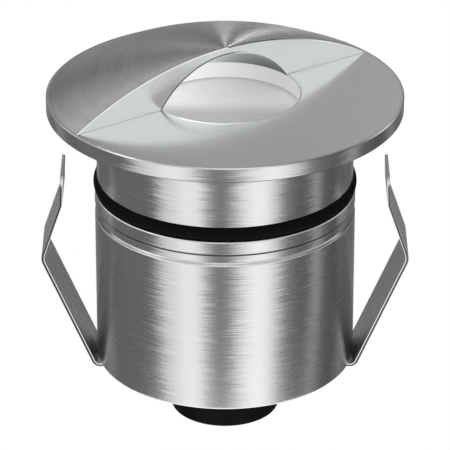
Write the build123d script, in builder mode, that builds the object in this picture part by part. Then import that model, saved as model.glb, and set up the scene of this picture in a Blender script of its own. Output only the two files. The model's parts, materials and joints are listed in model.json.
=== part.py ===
"""Recessed deck light with a half-dome hood, a stainless body and two spring clips.

Frame: millimetres, +Z up. The origin is on the body's axis, in the plane of the
flange's underside, which is the face that rests on the deck. The clips lie along X.
The hood's flat face looks to the front and right, turned hood_turn from the X axis.
"""
import math
import os

from build123d import *

os.makedirs("parts", exist_ok=True)

# Clearances
running_gap = 0.05      # radial gap of a turned fit, such as a thread drawn as a plain cylinder
screw_gap = 0.1         # radial gap round a screw's shank
wire_gap = 0.2          # radial gap round a lead
strip_gap = 0.2         # gap between two lengths of spring strip, measured along the bend
rest_gap = 0.3          # gap to a part that is only held near, not pressed

# Flange and hood
flange_radius = 30.0
flange_thickness = 2.6
flange_top_chamfer = 0.3
flange_bottom_chamfer = 0.2
hood_rise = 8.0         # crown of the dome above the flange's top face
hood_foot_margin = 0.5  # from the rim in to the foot of the dome
hood_wall = 1.4         # metal left over the hollow at the crown
hood_turn = 35.2        # plan angle of the hood's flat face, from the X axis, degrees
window_lip = 2.4        # from the glass's edge in to the window's
window_depth = 3.05     # from the flange's top face down to the glass
edge_chamfer = 0.2      # broken edge round the window and the arch

# Neck, seal and collar
neck_step = 0.4         # from the barrel's side in to the neck's
neck_length = 12.0      # from the deck plane down to the seal
spigot_wall = 1.8
spigot_engagement = 5.2
o_ring_section = 2.6
collar_wall = 2.35
collar_height = 2.2
collar_chamfer = 0.15

# Glass and what holds it
lens_ledge = 1.75       # step from the retaining ring's pocket in to the glass's
lens_thickness = 4.0
lens_chamfer = 0.3
gasket_thickness = 0.3
gasket_width = 1.9
cushion_thickness = 0.5
ring_ledge = 0.85       # step from the spigot's bore in to the ring's pocket
ring_lap = 1.5          # how far the ring reaches in under the glass
ring_thickness = 3.0
ring_key_hole_radius = 0.8
ring_key_hole_depth = 1.8

# Barrel
barrel_radius = 22.1
barrel_wall = 3.2
barrel_length = 29.2    # from the collar down to the underside
barrel_floor = 2.0
barrel_foot_chamfer = 0.7
seam_height = 0.4       # dark recess under the collar
seam_depth = 0.35
taper_height = 1.1
taper_depth = 0.25
score_depth = 0.12      # two fine scored lines above the barrel's shoulder
score_pitch = 0.3
score_count = 2
shoulder_chamfer = 0.2

# Lamp: board, emitters, reflector and heat sink
board_margin = 2.4      # from the spigot's bore in to the board's edge
board_thickness = 1.6
pad_thickness = 0.5
emitter_side = 3.5
emitter_base_height = 0.7
emitter_dome_radius = 1.4
emitter_count = 3
emitter_circle_radius = 3.0
reflector_throat_radius = 6.2
reflector_wall = 0.6
sink_flange_thickness = 1.5
sink_boss_height = 6.0
sink_fin_height = 4.0
sink_fin_margin = 2.9   # from the chamber's wall in to the outer fin
sink_groove_width = 2.5
sink_land_width = 2.2
sink_groove_count = 2
board_screw_radius = 1.0
board_screw_head_radius = 1.9
board_screw_head_height = 1.2
board_screw_length = 5.0
board_screw_inset = 3.5  # from the board's edge in to a screw's centre
fixing_count = 3
fixing_angle = 90.0
lead_radius = 0.6
lead_solder_height = 0.3
lead_angles = (30.0, 150.0)

# Driver
driver_board_margin = 1.5   # from the chamber's wall in to the board's edge
driver_board_thickness = 1.2
standoff_radius = 2.0
wiring_gap = 1.45       # from the gland's stem up to the terminal block
driver_screw_depth = 2.5
capacitor_radius = 3.15
capacitor_height = 6.5
capacitor_place = (-9.5, 6.0)
inductor_radius = 4.0
inductor_core_radius = 2.2
inductor_height = 5.0
inductor_flange_height = 0.9
inductor_place = (8.5, 6.5)
bridge_size = (6.0, 4.2, 2.2)
bridge_place = (-9.5, -1.0)
terminal_size = (10.0, 7.0, 6.5)
terminal_place = (0.0, -9.5)
terminal_pitch = 5.0
terminal_port_size = (3.0, 2.6)
terminal_screw_radius = 1.4
terminal_screw_height = 2.0

# Spring clip: one bent strip, clamped under the barrel by the cable gland
strip_width = 11.4
strip_thickness = 0.5
strip_eye_radius = 8.6
strip_overhang = 0.15   # flat run past the barrel's flat underside, before the strip bends up
foot_bend_radius = 0.85  # inner radii of the bends
elbow_bend_radius = 2.4
tab_bend_radius = 1.4
lower_arm_lean = 23.3   # degrees from the vertical, outwards
upper_arm_lean = 18.8   # degrees from the vertical, inwards
tab_lean = 2.0          # degrees from the vertical, inwards
lower_arm_length = 20.5
upper_arm_length = 9.4
tab_length = 4.6
tab_corner_radius = 1.7

# Cable gland
gland_radius = 9.3
gland_stem_radius = 5.0
gland_stem_length = 3.3  # past the barrel's floor
gland_washer_thickness = 1.0
gland_collar_height = 3.0
gland_nose_radius = 7.2
gland_nose_length = 3.6
gland_cap_height = 5.9
gland_cap_wall = 1.6
gland_edge_radius = 0.5
cable_radius = 2.6
cable_gap = 0.4
seal_radius = 4.6
locknut_across_flats = 14.0
locknut_thickness = 2.8

# Heights, worked down from the flange's top face
lens_top_z = flange_thickness - window_depth
lens_seat_z = lens_top_z + gasket_thickness
lens_bottom_z = lens_top_z - lens_thickness
ring_top_z = lens_bottom_z - cushion_thickness
ring_bottom_z = ring_top_z - ring_thickness
neck_bottom_z = -neck_length
collar_top_z = neck_bottom_z - o_ring_section
collar_bottom_z = collar_top_z - collar_height
spigot_bottom_z = collar_bottom_z - spigot_engagement
barrel_bottom_z = collar_bottom_z - barrel_length
barrel_floor_z = barrel_bottom_z + barrel_floor
sink_flange_top_z = spigot_bottom_z - running_gap
sink_flange_bottom_z = sink_flange_top_z - sink_flange_thickness
boss_top_z = sink_flange_top_z + sink_boss_height
pad_top_z = boss_top_z + pad_thickness
board_top_z = pad_top_z + board_thickness
fin_bottom_z = sink_flange_bottom_z - sink_fin_height
stem_top_z = barrel_floor_z + gland_stem_length
driver_bottom_z = stem_top_z + wiring_gap + terminal_size[2]
driver_top_z = driver_bottom_z + driver_board_thickness
standoff_length = fin_bottom_z - driver_top_z
strip_bottom_z = barrel_bottom_z - strip_thickness
washer_bottom_z = strip_bottom_z - gland_washer_thickness
gland_collar_bottom_z = washer_bottom_z - gland_collar_height
gland_bottom_z = gland_collar_bottom_z - gland_cap_height

# Radii, worked in from the barrel's side through walls, steps and fits
neck_radius = barrel_radius - neck_step
socket_radius = barrel_radius - collar_wall
spigot_radius = socket_radius - running_gap
spigot_bore_radius = spigot_radius - spigot_wall
ring_pocket_radius = spigot_bore_radius - ring_ledge
ring_radius = ring_pocket_radius - running_gap
lens_pocket_radius = ring_pocket_radius - lens_ledge
lens_radius = lens_pocket_radius - rest_gap
window_radius = lens_radius - window_lip
ring_bore_radius = lens_radius - ring_lap
reflector_mouth_radius = ring_bore_radius - rest_gap
board_radius = spigot_bore_radius - board_margin
board_screw_circle_radius = board_radius - board_screw_inset
chamber_radius = barrel_radius - barrel_wall
sink_flange_radius = socket_radius - running_gap
sink_fin_radius = chamber_radius - sink_fin_margin
driver_board_radius = chamber_radius - driver_board_margin
reflector_top_z = lens_bottom_z - rest_gap
stem_hole_radius = gland_stem_radius + running_gap
stem_bore_radius = cable_radius + cable_gap
foot_reach = barrel_radius - barrel_foot_chamfer + strip_overhang
# The leads rise through the middle of the outer groove of the heat sink
lead_circle_radius = sink_fin_radius - sink_land_width - sink_groove_width / 2
standoff_circle_radius = sink_fin_radius - sink_land_width / 2 - screw_gap

hood_half_chord = flange_radius - hood_foot_margin
hood_hollow_rise = hood_rise - hood_wall


def cap_arc_mid(half_chord, rise):
    """Point half way along the meridian of a spherical cap, from its foot to its crown."""
    radius = (half_chord**2 + rise**2) / (2 * rise)
    half_angle = math.asin(half_chord / radius) / 2
    return (radius * math.sin(half_angle), rise - radius + radius * math.cos(half_angle))


# Hood: a spherical cap on the flange's top face, cut off by an upright plane through the axis
facing = Vector(math.sin(math.radians(hood_turn)), -math.cos(math.radians(hood_turn)), 0)
hood_face = Plane(origin=(0, 0, 0), x_dir=(facing.Y * -1, facing.X, 0), z_dir=facing)

with BuildPart() as hood_dome:
    dome_mid = cap_arc_mid(hood_half_chord, hood_rise)
    with BuildSketch(Plane.XZ):
        with BuildLine():
            foot = (hood_half_chord, flange_thickness)
            crown = (0, flange_thickness + hood_rise)
            ThreePointArc(foot, (dome_mid[0], flange_thickness + dome_mid[1]), crown)
            Line(crown, (0, lens_seat_z))
            Line((0, lens_seat_z), (hood_half_chord, lens_seat_z))
            Line((hood_half_chord, lens_seat_z), foot)
        make_face()
    revolve(axis=Axis.Z)
    split(bisect_by=hood_face, keep=Keep.BOTTOM)

with BuildPart() as hooded_cover:
    # Flange
    with BuildSketch(Plane.XZ):
        with BuildLine():
            Polyline(
                (0, 0),
                (flange_radius - flange_bottom_chamfer, 0),
                (flange_radius, flange_bottom_chamfer),
                (flange_radius, flange_thickness - flange_top_chamfer),
                (flange_radius - flange_top_chamfer, flange_thickness),
                (0, flange_thickness),
                close=True,
            )
        make_face()
    revolve(axis=Axis.Z)
    # Neck, and the spigot that screws into the barrel
    with BuildSketch():
        Circle(neck_radius)
    extrude(amount=-neck_length)
    with BuildSketch(Plane.XY.offset(neck_bottom_z)):
        Circle(spigot_radius)
    extrude(amount=spigot_bottom_z - neck_bottom_z)
    add(hood_dome.part)
    # Window, with the hollow of the hood over its rear half
    hollow_mid = cap_arc_mid(window_radius, hood_hollow_rise)
    with BuildSketch(Plane.XZ):
        with BuildLine():
            rim = (window_radius, flange_thickness)
            top = (0, flange_thickness + hood_hollow_rise)
            ThreePointArc(rim, (hollow_mid[0], flange_thickness + hollow_mid[1]), top)
            Polyline(top, (0, ring_top_z), (window_radius, ring_top_z), rim)
        make_face()
    revolve(axis=Axis.Z, mode=Mode.SUBTRACT)
    # Stepped bore for the glass, its retaining ring and the lamp
    for step_radius, step_top_z in (
        (lens_pocket_radius, lens_seat_z),
        (ring_pocket_radius, ring_top_z),
        (spigot_bore_radius, ring_bottom_z),
    ):
        with BuildSketch(Plane.XY.offset(step_top_z)):
            Circle(step_radius)
        extrude(amount=spigot_bottom_z - step_top_z, mode=Mode.SUBTRACT)
    # Broken edges: the arch in the hood's face, and the front half of the window's rim
    face_edges = hooded_cover.edges().filter_by(lambda e: abs((e @ 0.5).dot(facing)) < 0.01)
    arch = face_edges.filter_by(GeomType.CIRCLE).sort_by(SortBy.LENGTH)[0]
    rim_edges = hooded_cover.edges().filter_by(GeomType.CIRCLE).filter_by(
        lambda e: abs(e.radius - window_radius) < 0.01
        and abs((e @ 0.5).Z - flange_thickness) < 0.01
        and (e @ 0.5).dot(facing) > 0
    )
    chamfer([arch] + list(rim_edges), length=edge_chamfer)
hooded_cover.part.label = "hooded_cover"
export_step(hooded_cover.part, "parts/hooded_cover.step")

# Glass: a frosted disc with broken edges, between two flat gaskets
with BuildPart() as window_lens:
    with BuildSketch(Plane.XY.offset(lens_bottom_z)):
        Circle(lens_radius)
    extrude(amount=lens_thickness)
    chamfer(window_lens.edges().filter_by(GeomType.CIRCLE), length=lens_chamfer)
window_lens.part.label = "window_lens"
export_step(window_lens.part, "parts/window_lens.step")

with BuildPart() as lens_gasket:
    with BuildSketch(Plane.XY.offset(lens_top_z)):
        Circle(lens_radius)
        Circle(lens_radius - gasket_width, mode=Mode.SUBTRACT)
    extrude(amount=gasket_thickness)
lens_gasket.part.label = "lens_gasket"
export_step(lens_gasket.part, "parts/lens_gasket.step")

with BuildPart() as lens_cushion:
    with BuildSketch(Plane.XY.offset(ring_top_z)):
        Circle(lens_radius)
        Circle(ring_bore_radius, mode=Mode.SUBTRACT)
    extrude(amount=cushion_thickness)
lens_cushion.part.label = "lens_cushion"
export_step(lens_cushion.part, "parts/lens_cushion.step")

with BuildPart() as lens_retaining_ring:
    with BuildSketch(Plane.XY.offset(ring_bottom_z)):
        Circle(ring_radius)
        Circle(ring_bore_radius, mode=Mode.SUBTRACT)
    extrude(amount=ring_thickness)
    # Two blind holes for a pin spanner
    with BuildSketch(Plane.XY.offset(ring_bottom_z)):
        with PolarLocations((ring_radius + ring_bore_radius) / 2, 2):
            Circle(ring_key_hole_radius)
    extrude(amount=ring_key_hole_depth, mode=Mode.SUBTRACT)
lens_retaining_ring.part.label = "lens_retaining_ring"
export_step(lens_retaining_ring.part, "parts/lens_retaining_ring.step")

# Seal between the neck and the collar
with BuildPart() as neck_o_ring:
    section_radius = o_ring_section / 2
    with BuildSketch(Plane.XZ):
        with Locations((spigot_radius + section_radius, (neck_bottom_z + collar_top_z) / 2)):
            Circle(section_radius)
    revolve(axis=Axis.Z)
neck_o_ring.part.label = "neck_o_ring"
export_step(neck_o_ring.part, "parts/neck_o_ring.step")

with BuildPart() as collar_ring:
    with BuildSketch(Plane.XY.offset(collar_bottom_z)):
        Circle(barrel_radius)
        Circle(socket_radius, mode=Mode.SUBTRACT)
    extrude(amount=collar_height)
    top_rim = collar_ring.edges().group_by(Axis.Z)[-1].sort_by(SortBy.LENGTH)[-1]
    chamfer(top_rim, length=collar_chamfer)
collar_ring.part.label = "collar_ring"
export_step(collar_ring.part, "parts/collar_ring.step")

# Barrel: a turned cup with a recessed seam, a slight taper and two scored lines at its head
with BuildPart() as housing_barrel:
    seam_z = collar_bottom_z - seam_height
    taper_z = seam_z - taper_height
    head_radius = barrel_radius - shoulder_chamfer
    score_line_points = []
    for n in range(score_count):
        score_z = taper_z - n * score_pitch
        score_line_points.append((head_radius, score_z))
        score_line_points.append((head_radius - score_depth, score_z - score_pitch / 2))
    shoulder_z = taper_z - score_count * score_pitch
    with BuildSketch(Plane.XZ):
        with BuildLine():
            Polyline(
                (0, barrel_bottom_z),
                (barrel_radius - barrel_foot_chamfer, barrel_bottom_z),
                (barrel_radius, barrel_bottom_z + barrel_foot_chamfer),
                (barrel_radius, shoulder_z - shoulder_chamfer),
                (head_radius, shoulder_z),
                *reversed(score_line_points),
                (barrel_radius - taper_depth, seam_z),
                (barrel_radius - seam_depth, seam_z),
                (barrel_radius - seam_depth, collar_bottom_z),
                (socket_radius, collar_bottom_z),
                (socket_radius, sink_flange_bottom_z),
                (chamber_radius, sink_flange_bottom_z),
                (chamber_radius, barrel_floor_z),
                (0, barrel_floor_z),
                close=True,
            )
        make_face()
    revolve(axis=Axis.Z)
    with BuildSketch(Plane.XY.offset(barrel_bottom_z)):
        Circle(stem_hole_radius)
    extrude(amount=barrel_floor, mode=Mode.SUBTRACT)
housing_barrel.part.label = "housing_barrel"
export_step(housing_barrel.part, "parts/housing_barrel.step")

# Heat sink: a flange on the barrel's ledge, a boss for the lamp and ring fins below
with BuildPart() as heat_sink:
    with BuildSketch(Plane.XY.offset(sink_flange_bottom_z)):
        Circle(sink_flange_radius)
    extrude(amount=sink_flange_thickness)
    with BuildSketch(Plane.XY.offset(sink_flange_top_z)):
        Circle(board_radius)
    extrude(amount=sink_boss_height)
    with BuildSketch(Plane.XY.offset(fin_bottom_z)):
        Circle(sink_fin_radius)
        for n in range(sink_groove_count):
            outer = sink_fin_radius - sink_land_width - n * (sink_land_width + sink_groove_width)
            Circle(outer, mode=Mode.SUBTRACT)
            Circle(outer - sink_groove_width)
    extrude(amount=sink_fin_height)
    # Holes for the leads, the board's screws and the driver's screws
    with BuildSketch(Plane.XY.offset(fin_bottom_z)):
        for angle in lead_angles:
            with PolarLocations(lead_circle_radius, 1, start_angle=angle):
                Circle(lead_radius + wire_gap)
    extrude(amount=boss_top_z - fin_bottom_z, mode=Mode.SUBTRACT)
    with BuildSketch(Plane.XY.offset(boss_top_z)):
        with PolarLocations(board_screw_circle_radius, fixing_count, start_angle=fixing_angle):
            Circle(board_screw_radius + screw_gap)
    extrude(amount=board_thickness + pad_thickness - board_screw_length, mode=Mode.SUBTRACT)
    with BuildSketch(Plane.XY.offset(fin_bottom_z)):
        with PolarLocations(standoff_circle_radius, fixing_count, start_angle=fixing_angle):
            Circle(board_screw_radius)
    extrude(amount=driver_screw_depth, mode=Mode.SUBTRACT)
heat_sink.part.label = "heat_sink"
export_step(heat_sink.part, "parts/heat_sink.step")

with BuildPart() as thermal_pad:
    with BuildSketch(Plane.XY.offset(boss_top_z)):
        Circle(board_radius)
        with PolarLocations(board_screw_circle_radius, fixing_count, start_angle=fixing_angle):
            Circle(board_screw_radius + screw_gap, mode=Mode.SUBTRACT)
        for angle in lead_angles:
            with PolarLocations(lead_circle_radius, 1, start_angle=angle):
                Circle(lead_radius + wire_gap, mode=Mode.SUBTRACT)
    extrude(amount=pad_thickness)
thermal_pad.part.label = "thermal_pad"
export_step(thermal_pad.part, "parts/thermal_pad.step")

with BuildPart() as led_board:
    with BuildSketch(Plane.XY.offset(pad_top_z)):
        Circle(board_radius)
        with PolarLocations(board_screw_circle_radius, fixing_count, start_angle=fixing_angle):
            Circle(board_screw_radius + screw_gap, mode=Mode.SUBTRACT)
        for angle in lead_angles:
            with PolarLocations(lead_circle_radius, 1, start_angle=angle):
                Circle(lead_radius + wire_gap, mode=Mode.SUBTRACT)
    extrude(amount=board_thickness)
led_board.part.label = "led_board"
export_step(led_board.part, "parts/led_board.step")

with BuildPart() as led_packages:
    with PolarLocations(emitter_circle_radius, emitter_count, start_angle=fixing_angle):
        with Locations((0, 0, board_top_z + emitter_base_height / 2)):
            Box(emitter_side, emitter_side, emitter_base_height)
        with Locations((0, 0, board_top_z + emitter_base_height)):
            Sphere(emitter_dome_radius, arc_size1=0)
led_packages.part.label = "led_packages"
export_step(led_packages.part, "parts/led_packages.step")

with BuildPart() as led_board_screws:
    shank_z = board_top_z - board_screw_length
    with PolarLocations(board_screw_circle_radius, fixing_count, start_angle=fixing_angle):
        with Locations((0, 0, shank_z)):
            Cylinder(board_screw_radius, board_screw_length, align=(Align.CENTER, Align.CENTER, Align.MIN))
        with Locations((0, 0, board_top_z)):
            Cylinder(
                board_screw_head_radius,
                board_screw_head_height,
                align=(Align.CENTER, Align.CENTER, Align.MIN),
            )
led_board_screws.part.label = "led_board_screws"
export_step(led_board_screws.part, "parts/led_board_screws.step")

with BuildPart() as reflector_cup:
    with BuildSketch(Plane.XZ):
        with BuildLine():
            Polyline(
                (reflector_throat_radius, board_top_z),
                (reflector_throat_radius + reflector_wall, board_top_z),
                (reflector_mouth_radius, reflector_top_z),
                (reflector_mouth_radius - reflector_wall, reflector_top_z),
                close=True,
            )
        make_face()
    revolve(axis=Axis.Z)
reflector_cup.part.label = "reflector_cup"
export_step(reflector_cup.part, "parts/reflector_cup.step")

# Two insulated leads, straight up from the driver to the board, with a bead of solder each
with BuildPart() as led_leads:
    with BuildSketch(Plane.XY.offset(driver_top_z)):
        for angle in lead_angles:
            with PolarLocations(lead_circle_radius, 1, start_angle=angle):
                Circle(lead_radius)
    extrude(amount=board_top_z - driver_top_z)
    with BuildSketch(Plane.XY.offset(board_top_z)):
        for angle in lead_angles:
            with PolarLocations(lead_circle_radius, 1, start_angle=angle):
                Circle(lead_radius + wire_gap * 2)
    extrude(amount=lead_solder_height)
led_leads.part.label = "led_leads"
export_step(led_leads.part, "parts/led_leads.step")

# Driver: a round board hung under the heat sink on three spacers
with BuildPart() as driver_standoffs:
    with BuildSketch(Plane.XY.offset(driver_top_z)):
        with PolarLocations(standoff_circle_radius, fixing_count, start_angle=fixing_angle):
            Circle(standoff_radius)
            Circle(board_screw_radius + screw_gap, mode=Mode.SUBTRACT)
    extrude(amount=standoff_length)
driver_standoffs.part.label = "driver_standoffs"
export_step(driver_standoffs.part, "parts/driver_standoffs.step")

with BuildPart() as driver_board:
    with BuildSketch(Plane.XY.offset(driver_bottom_z)):
        Circle(driver_board_radius)
        with PolarLocations(standoff_circle_radius, fixing_count, start_angle=fixing_angle):
            Circle(board_screw_radius + screw_gap, mode=Mode.SUBTRACT)
    extrude(amount=driver_board_thickness)
driver_board.part.label = "driver_board"
export_step(driver_board.part, "parts/driver_board.step")

with BuildPart() as driver_screws:
    driver_shank_length = driver_board_thickness + standoff_length + driver_screw_depth
    with PolarLocations(standoff_circle_radius, fixing_count, start_angle=fixing_angle):
        with Locations((0, 0, driver_bottom_z)):
            Cylinder(
                board_screw_radius - running_gap,
                driver_shank_length,
                align=(Align.CENTER, Align.CENTER, Align.MIN),
            )
            Cylinder(
                board_screw_head_radius,
                board_screw_head_height,
                align=(Align.CENTER, Align.CENTER, Align.MAX),
            )
driver_screws.part.label = "driver_screws"
export_step(driver_screws.part, "parts/driver_screws.step")

with BuildPart() as driver_capacitor:
    with BuildSketch(Plane.XY.offset(driver_bottom_z)):
        with Locations(capacitor_place):
            Circle(capacitor_radius)
    extrude(amount=-capacitor_height)
    chamfer(driver_capacitor.edges().group_by(Axis.Z)[0], length=lens_chamfer)
driver_capacitor.part.label = "driver_capacitor"
export_step(driver_capacitor.part, "parts/driver_capacitor.step")

with BuildPart() as driver_inductor:
    inductor_bottom_z = driver_bottom_z - inductor_height
    with BuildSketch(Plane.XY.offset(driver_bottom_z)):
        with Locations(inductor_place):
            Circle(inductor_core_radius)
    extrude(amount=-inductor_height)
    with BuildSketch(
        Plane.XY.offset(inductor_bottom_z), Plane.XY.offset(driver_bottom_z - inductor_flange_height)
    ):
        with Locations(inductor_place):
            Circle(inductor_radius)
    extrude(amount=inductor_flange_height)
driver_inductor.part.label = "driver_inductor"
export_step(driver_inductor.part, "parts/driver_inductor.step")

with BuildPart() as driver_bridge:
    with BuildSketch(Plane.XY.offset(driver_bottom_z)):
        with Locations(bridge_place):
            Rectangle(bridge_size[0], bridge_size[1])
    extrude(amount=-bridge_size[2])
driver_bridge.part.label = "driver_bridge"
export_step(driver_bridge.part, "parts/driver_bridge.step")

# Two-way terminal block for the cable's cores: ports to the axis, screws from below
with BuildPart() as terminal_block:
    terminal_bottom_z = driver_bottom_z - terminal_size[2]
    port_z = driver_bottom_z - terminal_size[2] / 2
    port_depth = terminal_size[1] / 2
    with BuildSketch(Plane.XY.offset(driver_bottom_z)):
        with Locations(terminal_place):
            Rectangle(terminal_size[0], terminal_size[1])
    extrude(amount=-terminal_size[2])
    with BuildSketch(Plane.XZ.offset(-terminal_place[1] - terminal_size[1] / 2)):
        with Locations((terminal_place[0], port_z)):
            with GridLocations(terminal_pitch, 0, 2, 1):
                Rectangle(terminal_port_size[0], terminal_port_size[1])
    extrude(amount=port_depth, mode=Mode.SUBTRACT)
    with BuildSketch(Plane.XY.offset(terminal_bottom_z)):
        with Locations(terminal_place):
            with GridLocations(terminal_pitch, 0, 2, 1):
                Circle(terminal_screw_radius + screw_gap)
    extrude(amount=terminal_screw_height, mode=Mode.SUBTRACT)
terminal_block.part.label = "terminal_block"
export_step(terminal_block.part, "parts/terminal_block.step")

with BuildPart() as terminal_screws:
    with BuildSketch(Plane.XY.offset(terminal_bottom_z + rest_gap)):
        with Locations(terminal_place):
            with GridLocations(terminal_pitch, 0, 2, 1):
                Circle(terminal_screw_radius)
    extrude(amount=terminal_screw_height - rest_gap)
terminal_screws.part.label = "terminal_screws"
export_step(terminal_screws.part, "parts/terminal_screws.step")

# Spring clip. Its line is drawn on the strip's body side, and the metal lies outside it.
# The strip flexes mostly at its two lower bends, so it is cut at the middle of each,
# where the two lengths turn on the strip's mid line.
foot_bend_angle = 90 - lower_arm_lean
elbow_bend_angle = lower_arm_lean + upper_arm_lean
half_strip = strip_thickness / 2
foot_mid_radius = foot_bend_radius + half_strip
elbow_mid_radius = elbow_bend_radius + half_strip
foot_gap_angle = math.degrees(strip_gap / 2 / foot_mid_radius)
elbow_gap_angle = math.degrees(strip_gap / 2 / elbow_mid_radius)


def heading(lean):
    """Unit vector in the XZ plane that leans outwards (+X) from the vertical by lean degrees."""
    return (math.sin(math.radians(lean)), math.cos(math.radians(lean)))


with BuildPart() as clip_strip:
    half_foot_angle = foot_bend_angle / 2 - foot_gap_angle
    with BuildSketch(Plane.XZ):
        with BuildLine():
            run = Line((0, barrel_bottom_z), (foot_reach, barrel_bottom_z))
            JernArc(run @ 1, (1, 0), foot_bend_radius, half_foot_angle)
            offset(amount=strip_thickness, side=Side.RIGHT)
        make_face()
    extrude(amount=strip_width / 2, both=True)
    mirror(about=Plane.YZ)
    with BuildSketch(Plane.XY.offset(strip_bottom_z)):
        Circle(strip_eye_radius)
    extrude(amount=strip_thickness)
    with BuildSketch(Plane.XY.offset(strip_bottom_z)):
        Circle(stem_hole_radius)
    extrude(amount=strip_thickness, mode=Mode.SUBTRACT)
clip_strip.part.label = "clip_strip"
export_step(clip_strip.part, "parts/clip_strip.step")

# Middle of the bend at the foot, on the strip's mid line: the lower arm turns about it
foot_centre = (foot_reach, barrel_bottom_z + foot_bend_radius)
foot_pivot = (
    foot_centre[0] + foot_mid_radius * math.sin(math.radians(foot_bend_angle / 2)),
    foot_centre[1] - foot_mid_radius * math.cos(math.radians(foot_bend_angle / 2)),
)

with BuildPart() as right_clip_lower_arm:
    start_lean = 90 - foot_bend_angle / 2 - foot_gap_angle
    start_angle = math.radians(foot_bend_angle / 2 + foot_gap_angle)
    arm_start = (
        foot_centre[0] + foot_bend_radius * math.sin(start_angle),
        foot_centre[1] - foot_bend_radius * math.cos(start_angle),
    )
    with BuildSketch(Plane.XZ):
        with BuildLine():
            foot_arc = JernArc(
                arm_start, heading(start_lean), foot_bend_radius, start_lean - lower_arm_lean
            )
            leg = PolarLine(foot_arc @ 1, lower_arm_length, direction=heading(lower_arm_lean))
            half_elbow = elbow_bend_angle / 2 - elbow_gap_angle
            JernArc(leg @ 1, heading(lower_arm_lean), elbow_bend_radius, half_elbow)
            offset(amount=strip_thickness, side=Side.RIGHT)
        make_face()
    extrude(amount=strip_width / 2, both=True)
right_clip_lower_arm.part.label = "right_clip_lower_arm"
export_step(right_clip_lower_arm.part, "parts/right_clip_lower_arm.step")

# Middle of the elbow, found from the end of the straight leg
leg_end = leg @ 1
elbow_centre = (
    leg_end.X - elbow_bend_radius * math.cos(math.radians(lower_arm_lean)),
    leg_end.Y + elbow_bend_radius * math.sin(math.radians(lower_arm_lean)),
)
elbow_lean = (lower_arm_lean - upper_arm_lean) / 2
elbow_pivot = (
    elbow_centre[0] + elbow_mid_radius * math.cos(math.radians(elbow_lean)),
    elbow_centre[1] - elbow_mid_radius * math.sin(math.radians(elbow_lean)),
)

with BuildPart() as right_clip_upper_arm:
    upper_start_lean = elbow_lean - elbow_gap_angle
    upper_start = (
        elbow_centre[0] + elbow_bend_radius * math.cos(math.radians(upper_start_lean)),
        elbow_centre[1] - elbow_bend_radius * math.sin(math.radians(upper_start_lean)),
    )
    with BuildSketch(Plane.XZ):
        with BuildLine():
            elbow_arc = JernArc(
                upper_start,
                heading(upper_start_lean),
                elbow_bend_radius,
                upper_start_lean + upper_arm_lean,
            )
            upper_leg = PolarLine(elbow_arc @ 1, upper_arm_length, direction=heading(-upper_arm_lean))
            tab_bend = JernArc(
                upper_leg @ 1,
                heading(-upper_arm_lean),
                tab_bend_radius + strip_thickness,
                tab_lean - upper_arm_lean,
            )
            PolarLine(tab_bend @ 1, tab_length, direction=heading(-tab_lean))
            offset(amount=strip_thickness, side=Side.RIGHT)
        make_face()
    extrude(amount=strip_width / 2, both=True)
    tab_corners = right_clip_upper_arm.edges().filter_by(
        lambda e: abs(e.length - strip_thickness) < 0.01
    ).group_by(Axis.Z)[-1]
    fillet(tab_corners, radius=tab_corner_radius)
right_clip_upper_arm.part.label = "right_clip_upper_arm"
export_step(right_clip_upper_arm.part, "parts/right_clip_upper_arm.step")

with BuildPart() as left_clip_lower_arm:
    add(right_clip_lower_arm.part)
    mirror(about=Plane.YZ, mode=Mode.REPLACE)
left_clip_lower_arm.part.label = "left_clip_lower_arm"
export_step(left_clip_lower_arm.part, "parts/left_clip_lower_arm.step")

with BuildPart() as left_clip_upper_arm:
    add(right_clip_upper_arm.part)
    mirror(about=Plane.YZ, mode=Mode.REPLACE)
left_clip_upper_arm.part.label = "left_clip_upper_arm"
export_step(left_clip_upper_arm.part, "parts/left_clip_upper_arm.step")

# Cable gland: washer, body with a hollow stem, locknut inside, cap nut and rubber seal
with BuildPart() as gland_washer:
    with BuildSketch(Plane.XY.offset(washer_bottom_z)):
        Circle(gland_radius)
        Circle(stem_hole_radius, mode=Mode.SUBTRACT)
    extrude(amount=gland_washer_thickness)
gland_washer.part.label = "gland_washer"
export_step(gland_washer.part, "parts/gland_washer.step")

with BuildPart() as gland_body:
    with BuildSketch(Plane.XY.offset(gland_collar_bottom_z)):
        Circle(gland_radius)
    extrude(amount=gland_collar_height)
    with BuildSketch(Plane.XY.offset(washer_bottom_z)):
        Circle(gland_stem_radius)
    extrude(amount=stem_top_z - washer_bottom_z)
    with BuildSketch(Plane.XY.offset(gland_collar_bottom_z)):
        Circle(gland_nose_radius)
    extrude(amount=-gland_nose_length)
    with BuildSketch(Plane.XY.offset(stem_top_z)):
        Circle(stem_bore_radius)
    extrude(amount=gland_collar_bottom_z - gland_nose_length - stem_top_z, mode=Mode.SUBTRACT)
    # Socket in the nose for the seal
    with BuildSketch(Plane.XY.offset(gland_collar_bottom_z - gland_nose_length)):
        Circle(seal_radius + running_gap)
    extrude(amount=gland_nose_length, mode=Mode.SUBTRACT)
gland_body.part.label = "gland_body"
export_step(gland_body.part, "parts/gland_body.step")

with BuildPart() as gland_cap:
    cap_top_z = gland_collar_bottom_z - running_gap
    with BuildSketch(Plane.XY.offset(gland_bottom_z)):
        Circle(gland_radius)
    extrude(amount=cap_top_z - gland_bottom_z)
    fillet(gland_cap.edges().group_by(Axis.Z)[0], radius=gland_edge_radius)
    with BuildSketch(Plane.XY.offset(gland_bottom_z + gland_cap_wall)):
        Circle(gland_nose_radius + running_gap)
    extrude(amount=cap_top_z - gland_bottom_z - gland_cap_wall, mode=Mode.SUBTRACT)
    with BuildSketch(Plane.XY.offset(gland_bottom_z)):
        Circle(stem_bore_radius)
    extrude(amount=gland_cap_wall, mode=Mode.SUBTRACT)
gland_cap.part.label = "gland_cap"
export_step(gland_cap.part, "parts/gland_cap.step")

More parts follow.
